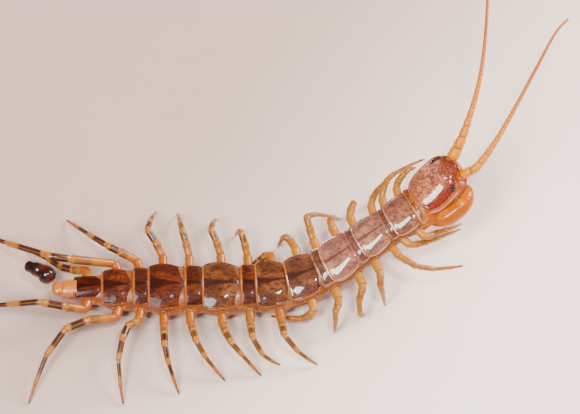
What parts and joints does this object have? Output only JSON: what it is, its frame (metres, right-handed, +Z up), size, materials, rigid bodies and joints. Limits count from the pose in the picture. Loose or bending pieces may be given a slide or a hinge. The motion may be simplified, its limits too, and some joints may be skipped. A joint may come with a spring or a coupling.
{
  "type": "stone centipede",
  "caption": "Still, life-size stone centipede with banded legs, front third raised, head turned to its left, beaded antennae spread forward.",
  "frame": {"origin": "on the floor, below the middle of the whole animal's box", "axes": "+X towards the head end along the straight rear of the body, +Y towards the animal's left, +Z up"},
  "size_m": [0.043, 0.0296, 0.0106],
  "materials": {
    "plate_brown": "glossy mahogany cuticle with paler raised rims",
    "head_brown": "glossy coppery brown cuticle",
    "amber": "glossy amber cuticle",
    "leg_amber": "satin pale amber cuticle with dark bands",
    "feeler_orange": "glossy honey-orange beaded cuticle",
    "eye_black": "black glossy ocelli",
    "tail_orange": "glossy orange-brown cuticle",
    "dark_brown": "glossy dark brown cuticle"
  },
  "bodies": {
    "root": {"antenna_left_base": "feeler_orange", "antenna_left_whip": "feeler_orange", "antenna_right_base": "feeler_orange", "antenna_right_whip": "feeler_orange", "collar": "amber", "coxosternite": "amber", "eye_left": "eye_black", "eye_right": "eye_black", "forcipule_left": "amber", "forcipule_right": "amber", "gonopods": "dark_brown", "head": "head_brown", "leg_left_01": "leg_amber", "leg_left_02": "leg_amber", "leg_left_03": "leg_amber", "leg_left_04": "leg_amber", "leg_left_05": "leg_amber", "leg_left_06": "leg_amber", "leg_left_07": "leg_amber", "leg_left_08": "leg_amber", "leg_left_09": "leg_amber", "leg_left_10": "leg_amber", "leg_left_11": "leg_amber", "leg_left_12": "leg_amber", "leg_left_13": "leg_amber", "leg_left_14": "leg_amber", "leg_left_15": "leg_amber", "leg_right_01": "leg_amber", "leg_right_02": "leg_amber", "leg_right_03": "leg_amber", "leg_right_04": "leg_amber", "leg_right_05": "leg_amber", "leg_right_06": "leg_amber", "leg_right_07": "leg_amber", "leg_right_08": "leg_amber", "leg_right_09": "leg_amber", "leg_right_10": "leg_amber", "leg_right_11": "leg_amber", "leg_right_12": "leg_amber", "leg_right_13": "leg_amber", "leg_right_14": "leg_amber", "leg_right_15": "leg_amber", "mouthparts": "amber", "tail": "tail_orange", "trunk_01": "plate_brown", "trunk_02": "plate_brown", "trunk_03": "plate_brown", "trunk_04": "plate_brown", "trunk_05": "plate_brown", "trunk_06": "plate_brown", "trunk_07": "plate_brown", "trunk_08": "plate_brown", "trunk_09": "plate_brown", "trunk_10": "plate_brown", "trunk_11": "plate_brown", "trunk_12": "plate_brown", "trunk_13": "plate_brown", "trunk_14": "plate_brown", "trunk_15": "plate_brown"}
  },
  "joints": []
}
